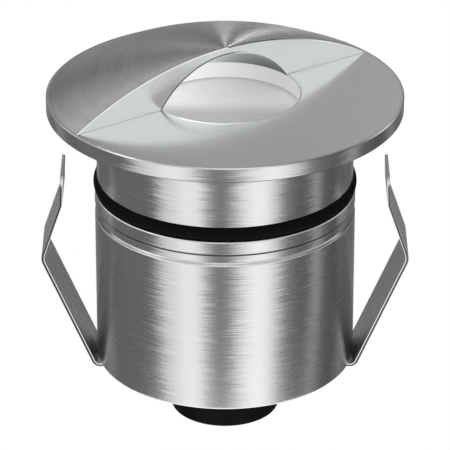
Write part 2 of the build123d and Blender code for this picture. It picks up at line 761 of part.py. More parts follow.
with BuildPart() as gland_seal:
    with BuildSketch(Plane.XY.offset(gland_bottom_z + gland_cap_wall)):
        Circle(seal_radius)
        Circle(cable_radius, mode=Mode.SUBTRACT)
    extrude(amount=gland_cap_height - gland_cap_wall)
gland_seal.part.label = "gland_seal"
export_step(gland_seal.part, "parts/gland_seal.step")

with BuildPart() as gland_locknut:
    with BuildSketch(Plane.XY.offset(barrel_floor_z)):
        RegularPolygon(locknut_across_flats / 2, 6, major_radius=False)
        Circle(stem_hole_radius, mode=Mode.SUBTRACT)
    extrude(amount=locknut_thickness)
gland_locknut.part.label = "gland_locknut"
export_step(gland_locknut.part, "parts/gland_locknut.step")

print("lower arm turns about", [round(v, 3) for v in foot_pivot])
print("upper arm turns about", [round(v, 3) for v in elbow_pivot])
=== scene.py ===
# %% [markdown]
# # A recessed deck light in turned steel
# The light sits in a round hole in a deck. Above the boards there is only a flange with a half-dome
# hood, whose window throws the light to one side. Below are a rubber seal, a turned barrel with the
# lamp in it, two spring clips and a cable gland. The CAD model gives every size. This lesson makes
# smooth meshes for what shows and gives each piece its own finish.

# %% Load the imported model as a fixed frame
import json
import math

import bmesh
import bpy
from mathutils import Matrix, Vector


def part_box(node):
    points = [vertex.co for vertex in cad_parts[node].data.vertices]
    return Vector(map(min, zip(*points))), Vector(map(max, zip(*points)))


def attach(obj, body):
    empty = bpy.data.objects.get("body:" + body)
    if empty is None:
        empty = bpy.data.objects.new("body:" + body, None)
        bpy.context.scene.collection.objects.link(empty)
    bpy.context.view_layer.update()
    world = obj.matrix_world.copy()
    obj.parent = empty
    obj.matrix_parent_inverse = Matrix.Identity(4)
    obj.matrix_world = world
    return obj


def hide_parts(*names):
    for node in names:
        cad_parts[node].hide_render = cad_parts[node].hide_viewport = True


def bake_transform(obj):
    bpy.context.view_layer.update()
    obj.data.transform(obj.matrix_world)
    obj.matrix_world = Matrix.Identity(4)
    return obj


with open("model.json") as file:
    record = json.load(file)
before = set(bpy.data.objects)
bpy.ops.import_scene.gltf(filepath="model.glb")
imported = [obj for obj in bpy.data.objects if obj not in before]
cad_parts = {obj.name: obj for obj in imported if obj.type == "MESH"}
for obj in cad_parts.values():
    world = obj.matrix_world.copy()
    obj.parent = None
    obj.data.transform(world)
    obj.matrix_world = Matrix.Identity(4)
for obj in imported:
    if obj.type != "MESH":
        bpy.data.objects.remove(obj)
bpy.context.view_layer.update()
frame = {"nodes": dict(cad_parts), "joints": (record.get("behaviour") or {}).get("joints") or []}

MM = 0.001
scene = bpy.context.scene

# %% [markdown]
# Colours are picked as sRGB hex values, as a paint card or a photo editor shows them, but Blender's
# shaders count light, which is linear. One function converts them, and one more adds a node with
# its settings and links, so that each material below reads as a list of its steps. Most of them
# drift a little in colour and gloss, as a noise texture says.

# %% Colour and node helpers
noise_range = (0.3, 0.7)       # a noise texture seldom leaves it


def linear(code, level=1.0):
    """Linear RGBA of an sRGB hex colour, dimmed or raised by level."""
    channels = [int(code[i:i + 2], 16) / 255 for i in (1, 3, 5)]
    curve = [c / 12.92 if c <= 0.04045 else ((c + 0.055) / 1.055) ** 2.4 for c in channels]
    return [c * level for c in curve] + [1.0]


def add(tree, kind, settings=None, links=None):
    """Adds a node. A link gives an input its source: an output, or a node for its first output.

    A setting is a property, an input's value, or the stops of a ramp as (position, colour) pairs.
    """
    node = tree.nodes.new(kind)
    for key, value in (settings or {}).items():
        if key == "stops":
            elements = node.color_ramp.elements
            for _ in value[2:]:
                elements.new(1.0)
            for element, (position, colour) in zip(elements, value):
                element.position = position
                element.color = colour
        elif isinstance(key, str) and hasattr(node, key):
            setattr(node, key, value)
        else:
            node.inputs[key].default_value = value
    for key, source in (links or {}).items():
        output = source.outputs[0] if isinstance(source, bpy.types.Node) else source
        tree.links.new(output, node.inputs[key])
    return node


def span(start, end, low=0.0, high=1.0):
    """Settings that map the range from start to end onto the one from low to high."""
    return {"From Min": start, "From Max": end, "To Min": low, "To Max": high}


def start_material(name):
    """A new material, its node tree and the output with the object's own coordinates."""
    material = bpy.data.materials.new(name)
    material.use_nodes = True
    tree = material.node_tree
    tree.nodes.clear()
    return material, tree, add(tree, "ShaderNodeTexCoord").outputs["Object"]


def drifting(tree, vector, noise, stops, least, most):
    """Adds a noise texture, and the colour and the roughness that follow it."""
    clouds = add(tree, "ShaderNodeTexNoise", noise, {"Vector": vector})
    shade = add(tree, "ShaderNodeValToRGB", {"stops": stops}, {"Fac": clouds})
    gloss = add(tree, "ShaderNodeMapRange", span(*noise_range, least, most), {"Value": clouds})
    return clouds, shade, gloss


# %% [markdown]
# The camera comes first. It looks down at 26 degrees from the front. The lens is long, because the
# flange's ellipse and the barrel's have nearly the same shape, which only a distant camera gives.

# %% Camera
camera_distance = 608.8        # mm from the point that it looks at
camera_pitch = 26.19           # degrees below the horizon
camera_target = (0.0, 0.0, -22.15)
sensor_width = 36.0
focal_share = 7.935            # focal length as a share of the frame's width

pitch = math.radians(camera_pitch)
target = Vector(camera_target) * MM
camera_data = bpy.data.cameras.new("camera")
camera_data.sensor_width = sensor_width
camera_data.lens = focal_share * sensor_width
camera = bpy.data.objects.new("camera", camera_data)
scene.collection.objects.link(camera)
back = Vector((0, -math.cos(pitch), math.sin(pitch)))
camera.location = target + back * camera_distance * MM
camera.rotation_mode = "QUATERNION"
camera.rotation_quaternion = (-back).to_track_quat("-Z", "Y")
camera_data.clip_start = 0.01
camera_data.clip_end = 50.0
scene.camera = camera
print("camera stands at", [round(v, 4) for v in camera.location], "m")

# %% [markdown]
# Bare metal has no colour of its own: it shows the room. The room here is a white studio, with dark
# flags stood round the object, as a photographer does to give steel its dark edges. Between the
# flags, two tall white panels stand left and right of the camera, and they make the two bright
# bands down the barrel. The studio is drawn in the world as rings, one over the other, each a ramp
# of light round the horizon. The camera and the glass see plain white, and matt surfaces are lit by
# it.

# %% Studio
white = (1.0, 1.0, 1.0, 1.0)
# Light seen below the horizon, by degrees round from the camera, clockwise from above
panels_below = [
    (-180, 0.34), (-137, 0.10), (-132, 0.60), (-127, 0.11), (-100, 0.14), (-80, 0.12), (-68, 0.10),
    (-55, 0.85), (-45, 0.95), (-36, 1.16), (-24, 1.10), (-14, 0.35), (-6, 0.09), (2, 0.17),
    (10, 0.62), (16, 0.98), (24, 1.19), (31, 1.27), (38, 1.18), (46, 0.84), (56, 0.17), (66, 0.12),
    (73, 0.04), (82, 0.12), (89, 0.58), (96, 0.10), (127, 0.07), (132, 0.60), (137, 0.08),
    (180, 0.34),
]
# The walls a little above the horizon, dark behind the object
walls_low = [
    (-180, 0.22), (-160, 0.22), (-130, 0.36), (-90, 0.90), (-45, 0.80), (0, 0.80), (45, 0.80),
    (80, 0.65), (100, 0.48), (130, 0.30), (160, 0.02), (180, 0.22),
]
# Higher up: a grey screen behind, which the flat part of the flange shows, and white at the sides
walls_high = [
    (-180, 0.44), (-170, 0.02), (-160, 0.36), (-140, 0.51), (-110, 1.04), (-80, 0.62), (-45, 0.90),
    (0, 0.80), (45, 1.07), (75, 1.17), (100, 0.83), (130, 1.40), (160, 0.04), (170, 0.65),
    (180, 0.44),
]
# The ceiling, then a row of lamps and the zenith, whose two lamps draw the bright fans on the dome
ceiling = [
    (-180, 0.24), (-175, 0.02), (-170, 0.32), (-165, 1.30), (-158, 0.40), (-140, 0.38),
    (-110, 0.16), (-80, 2.20), (-62, 1.20), (-40, 1.00), (0, 1.10), (40, 0.95), (80, 0.02),
    (120, 0.02), (160, 0.40), (172, 0.02), (180, 0.24),
]
lamp_row = [
    (-180, 3.40), (-171, 0.10), (-163, 0.10), (-157, 12.0), (-142, 12.0), (-135, 0.60),
    (-120, 1.00), (-80, 0.40), (-40, 0.50), (0, 1.20), (45, 1.20), (56, 0.40), (80, 0.14),
    (120, 0.02), (157, 0.05), (171, 0.10), (180, 3.40),
]
zenith = [
    (-180, 3.40), (-161, 0.20), (-147, 0.20), (-120, 1.00), (-80, 0.40), (-40, 0.50), (0, 1.20),
    (45, 1.20), (56, 0.40), (80, 0.14), (120, 0.02), (150, 0.05), (163, 0.10), (180, 3.40),
]
scene.view_settings.view_transform = "Standard"
world = bpy.data.worlds.new("studio")
scene.world = world
world.use_nodes = True
world.cycles.sampling_method = "NONE"
tree = world.node_tree
tree.nodes.clear()
direction = add(tree, "ShaderNodeTexCoord").outputs["Generated"]
parts = add(tree, "ShaderNodeSeparateXYZ", links={"Vector": direction})
towards_camera = add(
    tree, "ShaderNodeMath", {"operation": "MULTIPLY", 1: -1.0}, {0: parts.outputs["Y"]}
)
round_angle = add(
    tree, "ShaderNodeMath", {"operation": "ARCTAN2"}, {0: parts.outputs["X"], 1: towards_camera}
)
round_share = add(tree, "ShaderNodeMapRange", span(-math.pi, math.pi), {"Value": round_angle})


def studio_ring(stops):
    """Ramp of grey levels round the horizon."""
    shares = [((degrees + 180) / 360, (level,) * 3 + (1,)) for degrees, level in stops]
    ramp = add(tree, "ShaderNodeValToRGB", {"stops": shares}, {"Fac": round_share})
    ramp.color_ramp.interpolation = "EASE"
    return ramp


# The rings are laid one over the other, from the lowest up. Each fades in between two heights,
# which are sines of the angle above the horizon
room = studio_ring(panels_below)
rings_above = (
    (walls_low, -0.12, 0.06), (walls_high, 0.30, 0.34), (ceiling, 0.50, 0.56),
    (lamp_row, 0.775, 0.815), (zenith, 0.855, 0.895),
)
for stops, start, end in rings_above:
    border = add(
        tree, "ShaderNodeMapRange",
        {**span(start, end), "interpolation_type": "SMOOTHSTEP"},
        {"Value": parts.outputs["Z"]},
    )
    room = add(
        tree, "ShaderNodeMix", {"data_type": "RGBA"},
        {"Factor": border, 6: room, 7: studio_ring(stops)},
    ).outputs[2]
rays = add(tree, "ShaderNodeLightPath")
lit = add(
    tree, "ShaderNodeMix", {"data_type": "RGBA", 6: white},
    {"Factor": rays.outputs["Is Glossy Ray"], 7: room},
)
straight = add(
    tree, "ShaderNodeMath", {"operation": "MAXIMUM"},
    {0: rays.outputs["Is Camera Ray"], 1: rays.outputs["Is Transmission Ray"]},
)
seen = add(
    tree, "ShaderNodeMix", {"data_type": "RGBA", 7: white}, {"Factor": straight, 6: lit.outputs[2]}
)
background = add(tree, "ShaderNodeBackground", links={"Color": seen.outputs[2]})
add(tree, "ShaderNodeOutputWorld", links={"Surface": background})

# %% [markdown]
# A large softbox hangs overhead, a little in front, and models the black parts. The object hangs in
# its mount, so the table lies well below. It is pale and matt. The camera, the metal and the glass
# see a faint glow added to its paint, which lifts it to white but leaves the object's shadow on it.

# %% Softbox and table
softbox_place = (-0.25, -0.35, 1.1)     # m, and so are the other sizes here
softbox_size = (1.0, 0.8)
softbox_power = 3.2                     # W
table_drop = 0.45
table_radius = 0.32
table_rim = 0.01

softbox_data = bpy.data.lights.new("softbox", "AREA")
softbox_data.shape = "RECTANGLE"
softbox_data.size, softbox_data.size_y = softbox_size
softbox_data.energy = softbox_power
softbox = bpy.data.objects.new("softbox", softbox_data)
scene.collection.objects.link(softbox)
softbox.location = softbox_place
softbox.visible_glossy = False
softbox.rotation_mode = "QUATERNION"
softbox.rotation_quaternion = (target - softbox.location).to_track_quat("-Z", "Y")

bm = bmesh.new()
bmesh.ops.create_circle(bm, cap_ends=True, segments=96, radius=table_radius)
lid = bmesh.ops.extrude_face_region(bm, geom=bm.faces[:])
lid_verts = [v for v in lid["geom"] if isinstance(v, bmesh.types.BMVert)]
bmesh.ops.translate(bm, verts=lid_verts, vec=(0, 0, -table_rim))
bmesh.ops.translate(bm, verts=bm.verts, vec=(0, 0, -table_drop))
bmesh.ops.recalc_face_normals(bm, faces=bm.faces)
table_mesh = bpy.data.meshes.new("table")
bm.to_mesh(table_mesh)
bm.free()
table = bpy.data.objects.new("table", table_mesh)
scene.collection.objects.link(table)
paint, tree, _ = start_material("matt_white_paint")
rays = add(tree, "ShaderNodeLightPath")
camera_or_glossy = add(
    tree, "ShaderNodeMath", {"operation": "MAXIMUM"},
    {0: rays.outputs["Is Camera Ray"], 1: rays.outputs["Is Glossy Ray"]},
)
any_seen = add(
    tree, "ShaderNodeMath", {"operation": "MAXIMUM"},
    {0: camera_or_glossy, 1: rays.outputs["Is Transmission Ray"]},
)
matt = add(tree, "ShaderNodeBsdfDiffuse", {"Color": linear("#f4f4f2")})
glow = add(
    tree, "ShaderNodeEmission", {"Color": linear("#ffffff", 0.45)}, {"Strength": any_seen}
)
both = add(tree, "ShaderNodeAddShader", links={0: matt, 1: glow})
add(tree, "ShaderNodeOutputMaterial", links={"Surface": both})
table_mesh.materials.append(paint)
print("table lies", table_drop, "m below the deck plane")

# %% [markdown]
# Turned stainless steel is covered with fine grooves round the axis. Across them a reflection is
# smeared out, and along them it stays sharp, so the shader is anisotropic, with its tangent square
# to the grooves. Each groove also leans a little, which frays the edges of every reflection into
# short streaks. The noise for them is long round the axis and thin across it.
#
# The direction round the axis is the Z axis crossed with the object's own coordinates, and the
# tangent is the surface's normal crossed with that. So one material fits a side, a rim and a dome.

# %% Turned steel
streak_length = 7.0            # mm, along a groove
streak_width = 0.06            # mm, across the grooves: coarser than real ones, so that they show
groove_pitch = 0.05            # mm from one groove to the next, coarser than real ones too


def turned_steel(name, tint, roughness, anisotropy, lean, groove, drift):
    """Steel turned about the Z axis. lean and groove tilt the normal along and across the grooves.

    drift is how far the streaks' colour and gloss stray from the mean, as a share of it.
    """
    material, tree, place = start_material(name)
    normal = add(tree, "ShaderNodeNewGeometry").outputs["Normal"]
    cross = add(
        tree, "ShaderNodeVectorMath", {"operation": "CROSS_PRODUCT", 0: (0, 0, 1)}, {1: place}
    )
    around = add(tree, "ShaderNodeVectorMath", {"operation": "NORMALIZE"}, {0: cross})
    tangent = add(
        tree, "ShaderNodeVectorMath", {"operation": "CROSS_PRODUCT"}, {0: normal, 1: around}
    )
    # Long coordinates round the axis, short ones across the grooves: radius less height does for
    # a side, a face and a dome
    flat = add(tree, "ShaderNodeVectorMath", {"operation": "MULTIPLY", 1: (1, 1, 0)}, {0: place})
    radius = add(tree, "ShaderNodeVectorMath", {"operation": "LENGTH"}, {0: flat})
    split = add(tree, "ShaderNodeSeparateXYZ", links={"Vector": place})
    depth = add(
        tree, "ShaderNodeMath", {"operation": "SUBTRACT"},
        {0: radius.outputs["Value"], 1: split.outputs["Z"]},
    )
    joined = add(
        tree, "ShaderNodeCombineXYZ",
        links={"X": split.outputs["X"], "Y": split.outputs["Y"], "Z": depth},
    )
    scales = (1 / (streak_length * MM), 1 / (streak_length * MM), 1 / (streak_width * 2 * MM))
    stretched = add(tree, "ShaderNodeVectorMath", {"operation": "MULTIPLY", 1: scales}, {0: joined})
    streaks, shade, gloss = drifting(
        tree, stretched, {"Scale": 1.0, "Detail": 3.0, "Roughness": 0.75},
        [(0.25, linear(tint, 1 - drift)), (0.75, linear(tint, 1 + drift / 2))],
        roughness * (1 - drift), roughness * (1 + drift),
    )
    offset = add(
        tree, "ShaderNodeMapRange",
        {**span(*noise_range, -lean, lean), "clamp": False},
        {"Value": streaks},
    )
    flank = add(
        tree, "ShaderNodeTexNoise",
        {"noise_dimensions": "1D", "Scale": 1 / (groove_pitch * MM), "Detail": 0.0},
        {"W": depth},
    )
    slope = add(
        tree, "ShaderNodeMapRange",
        {**span(0.2, 0.8, -groove, groove), "clamp": False},
        {"Value": flank},
    )
    leaned = normal
    for way, amount in ((around, offset), (tangent, slope)):
        push = add(tree, "ShaderNodeVectorMath", {"operation": "SCALE"}, {0: way, "Scale": amount})
        leaned = add(tree, "ShaderNodeVectorMath", {"operation": "ADD"}, {0: leaned, 1: push})
    leaned = add(tree, "ShaderNodeVectorMath", {"operation": "NORMALIZE"}, {0: leaned})
    metal = add(
        tree, "ShaderNodeBsdfPrincipled", {"Metallic": 1.0, "Anisotropic": anisotropy},
        {"Base Color": shade, "Roughness": gloss, "Normal": leaned, "Tangent": tangent},
    )
    add(tree, "ShaderNodeOutputMaterial", links={"Surface": metal})
    return material


belt_ground_steel = turned_steel("belt_ground_stainless", "#dcdddd", 0.26, 0.78, 0.060, 0.08, 0.06)
faced_steel = turned_steel("faced_stainless", "#dcdedd", 0.20, 1.0, 0.003, 0.50, 0.03)
flat_steel = turned_steel("fine_faced_stainless", "#dddfdf", 0.19, 0.10, 0.003, 0.01, 0.02)
print("three turned finishes made")

# %% [markdown]
# The hood is half of a spherical cap, cut off by an upright plane through the axis, and the hollow
# behind its window is half of a smaller cap. Both the shapes and the finishes below need their
# sizes.

# %% Sizes of the hood
flange_top = 2.6               # mm above the deck plane
dome_foot = 29.5               # radius where the dome meets the flange
dome_rise = 8.0
window_radius = 12.6
hollow_rise = 6.6
hood_turn = math.radians(35.2)  # the hood's face is turned this far from the X axis
along = Vector((math.cos(hood_turn), math.sin(hood_turn), 0))
facing = Vector((math.sin(hood_turn), -math.cos(hood_turn), 0))


def sphere_of(half_chord, rise):
    """Radius of a cap's sphere, and the height of its centre, in mm."""
    radius = (half_chord**2 + rise**2) / (2 * rise)
    return radius, flange_top + rise - radius


print("dome and hollow have radii of", [
    round(sphere_of(*cap)[0], 2) for cap in ((dome_foot, dome_rise), (window_radius, hollow_rise))
], "mm")

# %% [markdown]
# The hood's upright face isn't turned: a cutter has milled it flat, so no grain shows, and it
# mirrors the flange in front of it softly. Beside the left part of the window's arch the face is
# darkened with a line of painted shadow, and a fainter one runs along its foot, in the crease with
# the flange. The crest's left half has a steeper chamfer, which looks at the bright wall on the
# right. Its direction is given to the shader.

# %% Milled steel
# Painted shadow lines: the one beside the arch fades out between these mm from it, the one at the
# foot between these mm above the flange
arch_shadow_ends = (0.36, 0.43)  # mm from the arch: the dull line fades out between them
foot_shadow_ends = (0.07, 0.13)  # and mm above the flange


def milled_steel(name, tint, roughness, patch, normal=None, arch=None):
    """Evenly smooth steel with faint clouds, patch mm across. normal is a chamfer's own.

    arch is the radius and the centre's height of the arch, in mm, beside whose left part the face
    is darkened with a line of painted shadow. A fainter one runs along the foot, in the crease.
    """
    material, tree, place = start_material(name)
    _, shade, gloss = drifting(
        tree, place, {"Scale": 1 / (patch * MM), "Detail": 3.0},
        [(0.3, linear(tint, 0.96)), (0.7, linear(tint, 1.02))], roughness * 0.8, roughness * 1.2,
    )
    # Painted shadow: dark grey beside the left part of the arch, and fainter along the foot of the
    # face, in its crease
    if arch:
        radius, height = arch
        centre = (0, 0, height * MM)
        gap = add(tree, "ShaderNodeVectorMath", {"operation": "DISTANCE", 1: centre}, {0: place})
        near, far = [(radius + end) * MM for end in arch_shadow_ends]
        beside = add(
            tree, "ShaderNodeMapRange", span(near, far, 1.0, 0.0), {"Value": gap.outputs["Value"]}
        )
        split = add(tree, "ShaderNodeSeparateXYZ", links={"Vector": place})
        on_left = add(
            tree, "ShaderNodeMapRange",
            span(1 * MM, 4 * MM, 1.0, 0.0),
            {"Value": split.outputs["X"]},
        )
        arch_shadow_line = add(tree, "ShaderNodeMath", {"operation": "MULTIPLY"}, {0: beside, 1: on_left})
        near, far = [(flange_top + end) * MM for end in foot_shadow_ends]
        foot_shadow_line = add(
            tree, "ShaderNodeMapRange", span(near, far, 0.28, 0.0), {"Value": split.outputs["Z"]}
        )
        painted_shadow_lines = add(tree, "ShaderNodeMath", {"operation": "MAXIMUM"}, {0: arch_shadow_line, 1: foot_shadow_line})
        shade = add(
            tree, "ShaderNodeMix", {"data_type": "RGBA", 7: linear("#545657")},
            {"Factor": painted_shadow_lines, 6: shade},
        ).outputs[2]
    links = {"Base Color": shade, "Roughness": gloss}
    if normal:
        links["Normal"] = add(tree, "ShaderNodeCombineXYZ", dict(enumerate(normal)))
    metal = add(tree, "ShaderNodeBsdfPrincipled", {"Metallic": 1.0}, links)
    add(tree, "ShaderNodeOutputMaterial", links={"Surface": metal})
    return material


hollow_sphere = sphere_of(window_radius, hollow_rise)
facet_steel = milled_steel("milled_stainless", "#f0f2f1", 0.19, 3.0, arch=hollow_sphere)
# A dark copy of the steel: painted shade on the flange's bottom edge and in the barrel's recessed
# seam
painted_shade_edge = milled_steel("painted_shade_steel", "#5c5f60", 0.40, 1.0)
bright_edge = milled_steel("chamfered_edge", "#eef0f0", 0.22, 1.0, (0.50, -0.71, 0.50))
rubbed_edge = milled_steel("rubbed_edge", "#f4f6f6", 0.50, 1.0)
strip_burr = milled_steel("sheared_burr", "#f4f6f6", 0.20, 1.0, (0.215, -0.959, 0.188))
print("milled face and four edges made")

# %% [markdown]
# The hollow behind the window was only blasted with glass beads, so it's dull and shows no mirror
# image. Its light and shade are painted: its colour darkens from the left end to the right end, in
# the hood's shadow, and its left end, near the glass, glows with painted light.

# %% Blasted steel
dent_size = 0.2                # mm
hollow_steel, tree, place = start_material("bead_blasted_stainless_painted_light")
grain = add(
    tree, "ShaderNodeTexNoise", {"Scale": 1 / (dent_size * MM), "Detail": 2.0}, {"Vector": place}
)
dents = add(tree, "ShaderNodeBump", {"Strength": 0.3, "Distance": 0.02 * MM}, {"Height": grain})
sideways = add(tree, "ShaderNodeVectorMath", {"operation": "DOT_PRODUCT", 1: along}, {0: place})
share = add(
    tree, "ShaderNodeMapRange", span(-4 * MM, 12 * MM), {"Value": sideways.outputs["Value"]}
)
# Painted light and shade: pale at the left end, dark at the right end, where the hood shades it
shade = add(
    tree, "ShaderNodeValToRGB",
    {"stops": [(0.0, linear("#e2e4e4")), (0.5, linear("#d8dcdc")), (1.0, linear("#6a6e6e"))]},
    {"Fac": share},
)
# Painted light: the left end glows, as if lit by the glass
painted_glow_left = add(
    tree, "ShaderNodeMapRange",
    {**span(10 * MM, -2 * MM, 0.0, 0.72), "interpolation_type": "SMOOTHSTEP"},
    {"Value": sideways.outputs["Value"]},
)
gloss = add(tree, "ShaderNodeMapRange", span(*noise_range, 0.55, 0.65), {"Value": grain})
blasted = add(
    tree, "ShaderNodeBsdfPrincipled", {"Metallic": 0.3},
    {
        "Base Color": shade, "Emission Color": shade, "Emission Strength": painted_glow_left,
        "Roughness": gloss, "Normal": dents,
    },
)
add(tree, "ShaderNodeOutputMaterial", links={"Surface": blasted})

# %% [markdown]
# The wall of the window's bore is as white as the glass, so it is coated, to throw the lamp's light
# out. A baked enamel does that: a pale body, a satin gloss, and a surface that flowed as it set.
# It also glows faintly with painted light, and darkens towards its right end with painted shadow.

# %% White enamel
flow_size = 1.5                # mm
white_enamel_painted_light, tree, place = start_material("white_enamel_painted_light")
flow = add(
    tree, "ShaderNodeTexNoise", {"Scale": 1 / (flow_size * MM), "Detail": 2.0}, {"Vector": place}
)
ripple = add(tree, "ShaderNodeBump", {"Strength": 0.3, "Distance": 0.01 * MM}, {"Height": flow})
# Painted shadow: it darkens towards its right end, which lies in the hood's shadow
sideways = add(tree, "ShaderNodeSeparateXYZ", links={"Vector": place}).outputs["X"]
share = add(tree, "ShaderNodeMapRange", span(-8 * MM, 12 * MM), {"Value": sideways})
shadow_and_drift = add(tree, "ShaderNodeMath", {"operation": "MULTIPLY_ADD", 1: 0.1}, {0: flow, 2: share})
shade = add(
    tree, "ShaderNodeValToRGB",
    {"stops": [(0.0, linear("#ffffff")), (0.4, linear("#f0f0f0")), (1.0, linear("#d0d0d0"))]},
    {"Fac": shadow_and_drift},
)
gloss = add(tree, "ShaderNodeMapRange", span(*noise_range, 0.36, 0.46), {"Value": flow})
# Painted light: the enamel glows faintly in its own colour
enamel = add(
    tree, "ShaderNodeBsdfPrincipled", {"IOR": 1.5, "Emission Strength": 0.20},
    {"Base Color": shade, "Emission Color": shade, "Roughness": gloss, "Normal": ripple},
)
add(tree, "ShaderNodeOutputMaterial", links={"Surface": enamel})

# %% [markdown]
# A lathe makes most of this object, and Blender's spin does the same: it turns a profile, which
# here is a chain of edges through (radius, height) points, round an axis. Finishing a piece is the
# same each time: weld the seam, point the faces outwards, shade it smooth but for its corners, then
# tie it to its CAD body and hide the plain solid that it stands for.

# %% Turning and finishing helpers
turn_steps = 256
corner_angle = math.radians(18)
weld_gap = 0.002 * MM          # points closer than this are one point


def profile(bm, points, turn=0.0):
    """A chain of edges through (radius, height) points in mm, in an upright plane at that angle."""
    across = Vector((math.cos(turn), math.sin(turn), 0))
    verts = [bm.verts.new((across * r + Vector((0, 0, z))) * MM) for r, z in points]
    edges = [bm.edges.new(pair) for pair in zip(verts, verts[1:])]
    return verts + edges


def spin(bm, chain, angle=math.tau):
    """Turns a chain round the Z axis, through a whole turn or part of one."""
    share = abs(angle) / math.tau
    return bmesh.ops.spin(
        bm, geom=chain, cent=(0, 0, 0), axis=(0, 0, 1), angle=angle,
        steps=round(turn_steps * share), use_merge=share == 1,
    )


def bevel(bm, geom, size, segments=1, affect="EDGES"):
    """Breaks edges, or rounds corners, by a size in mm. Returns the new faces."""
    return bmesh.ops.bevel(
        bm, geom=geom, offset=size * MM, offset_type="OFFSET", segments=segments, profile=0.5,
        affect=affect, material=-1, clamp_overlap=True,
    )["faces"]


def give(faces, finish, finishes):
    """Gives faces one of their piece's finishes."""
    for face in faces:
        face.material_index = finishes.index(finish)


def band(bm, low, high, least_radius):
    """Faces whose middle lies between two heights and outside a radius, in mm."""
    middles = [(face, face.calc_center_median() / MM) for face in bm.faces]
    return [f for f, middle in middles if low < middle.z < high and middle.xy.length > least_radius]


def finish_piece(bm, name, body, finishes, stands_for):
    """Makes the object, ties it to its CAD body if it has one, and hides the nodes that it
    replaces.
    """
    bmesh.ops.remove_doubles(bm, verts=bm.verts, dist=weld_gap)
    bmesh.ops.recalc_face_normals(bm, faces=bm.faces)
    mesh = bpy.data.meshes.new(name)
    bm.to_mesh(mesh)
    bm.free()
    for finish in finishes:
        mesh.materials.append(finish)
    mesh.shade_smooth()
    mesh.set_sharp_from_angle(angle=corner_angle)
    piece = bpy.data.objects.new(name, mesh)
    scene.collection.objects.link(piece)
    if body:
        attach(piece, body)
    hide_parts(*stands_for)
    print(name, "has", len(mesh.polygons), "faces")
    return piece


def turned_piece(name, finish, node, points):
    """A piece of one finish, turned in one profile."""
    bm = bmesh.new()
    spin(bm, profile(bm, points))
    finish_piece(bm, name, "root", [finish], [node])


def arc(centre, radius, start, end, steps):
    """(x, z) points on an arc, with angles in degrees from the x axis."""
    angles = [math.radians(start + (end - start) * i / steps) for i in range(steps + 1)]
    return [(centre[0] + radius * math.cos(a), centre[1] + radius * math.sin(a)) for a in angles]


# %% [markdown]
# The cover is one piece of steel. Its dome and its hollow are laid out as arcs in planes parallel
# to the hood's face, the way an egg slicer cuts, so that the faces beside it have an even width,
# which a bevel needs. The front half of the top is a flat ring. The rest is a whole turn of one
# long profile, which goes round the rim, down the neck and back up the bore.

# %% Hooded cover
arc_steps = 96
lip_crest = (12.7, 2.7)        # radius and height of the lip round the window's front
lip_foot = 12.94
flange_radius = 30.0
top_chamfer = 0.15
bottom_chamfer = 0.2
neck_radius = 21.7
neck_bottom = -12.0
spigot_radius = 19.7
spigot_bottom = -22.0
spigot_bore = 17.9
ring_pocket = (17.05, -7.95)   # radius and lower end of the pockets for the glass's ring
glass_pocket = (15.3, -4.95)   # and for the glass
glass_seat = -0.15


def half_cap(bm, half_chord, rise):
    """Half of a spherical cap behind the hood's plane, as arcs in planes parallel to it."""
    radius, centre = sphere_of(half_chord, rise)
    rows = []
    for n in range(turn_steps // 4 + 1):
        turn = math.tau * n / turn_steps
        depth = half_chord * math.sin(turn)
        row_radius = math.sqrt(radius**2 - depth**2)
        reach = math.degrees(math.asin(half_chord * math.cos(turn) / row_radius))
        points = arc((0, centre), row_radius, 90 + reach, 90 - reach, arc_steps)
        rows.append([
            bm.verts.new((along * x - facing * depth + Vector((0, 0, z))) * MM) for x, z in points
        ])
    for row, next_row in zip(rows, rows[1:]):
        for n in range(arc_steps):
            bm.faces.new((row[n], row[n + 1], next_row[n + 1], next_row[n]))


bm = bmesh.new()
half_cap(bm, dome_foot, dome_rise)
dome_faces = set(bm.faces)
half_cap(bm, window_radius, hollow_rise)
hollow_faces = set(bm.faces) - dome_faces
spin(bm, profile(bm, [
    (window_radius, flange_top), lip_crest, (lip_foot, flange_top), (dome_foot, flange_top),
], hood_turn), -math.pi)
front_faces = set(bm.faces) - dome_faces - hollow_faces
lip_faces = {f for f in front_faces if f.calc_center_median().xy.length < lip_foot * MM}
spin(bm, profile(bm, [(window_radius, glass_seat), (window_radius, flange_top)], hood_turn))
bore_faces = set(bm.faces) - dome_faces - hollow_faces - front_faces
cover_finishes = [
    belt_ground_steel, faced_steel, flat_steel, hollow_steel, facet_steel, white_enamel_painted_light,
    painted_shade_edge, bright_edge, rubbed_edge,
]
for faces, finish in (
    (dome_faces, faced_steel), (front_faces, flat_steel), (lip_faces, rubbed_edge),
    (hollow_faces, hollow_steel), (bore_faces, white_enamel_painted_light),
):
    give(faces, finish, cover_finishes)
spin(bm, profile(bm, [
    (dome_foot, flange_top), (flange_radius - top_chamfer, flange_top),
    (flange_radius, flange_top - top_chamfer), (flange_radius, bottom_chamfer),
    (flange_radius - bottom_chamfer, 0), (neck_radius, 0), (neck_radius, neck_bottom),
    (spigot_radius, neck_bottom), (spigot_radius, spigot_bottom), (spigot_bore, spigot_bottom),
    (spigot_bore, ring_pocket[1]), ring_pocket, (ring_pocket[0], glass_pocket[1]), glass_pocket,
    (glass_pocket[0], glass_seat), (window_radius, glass_seat),
], hood_turn))
bmesh.ops.remove_doubles(bm, verts=bm.verts, dist=weld_gap)


def in_hood_plane(edge):
    return all(abs(v.co.dot(facing)) < weld_gap for v in edge.verts)


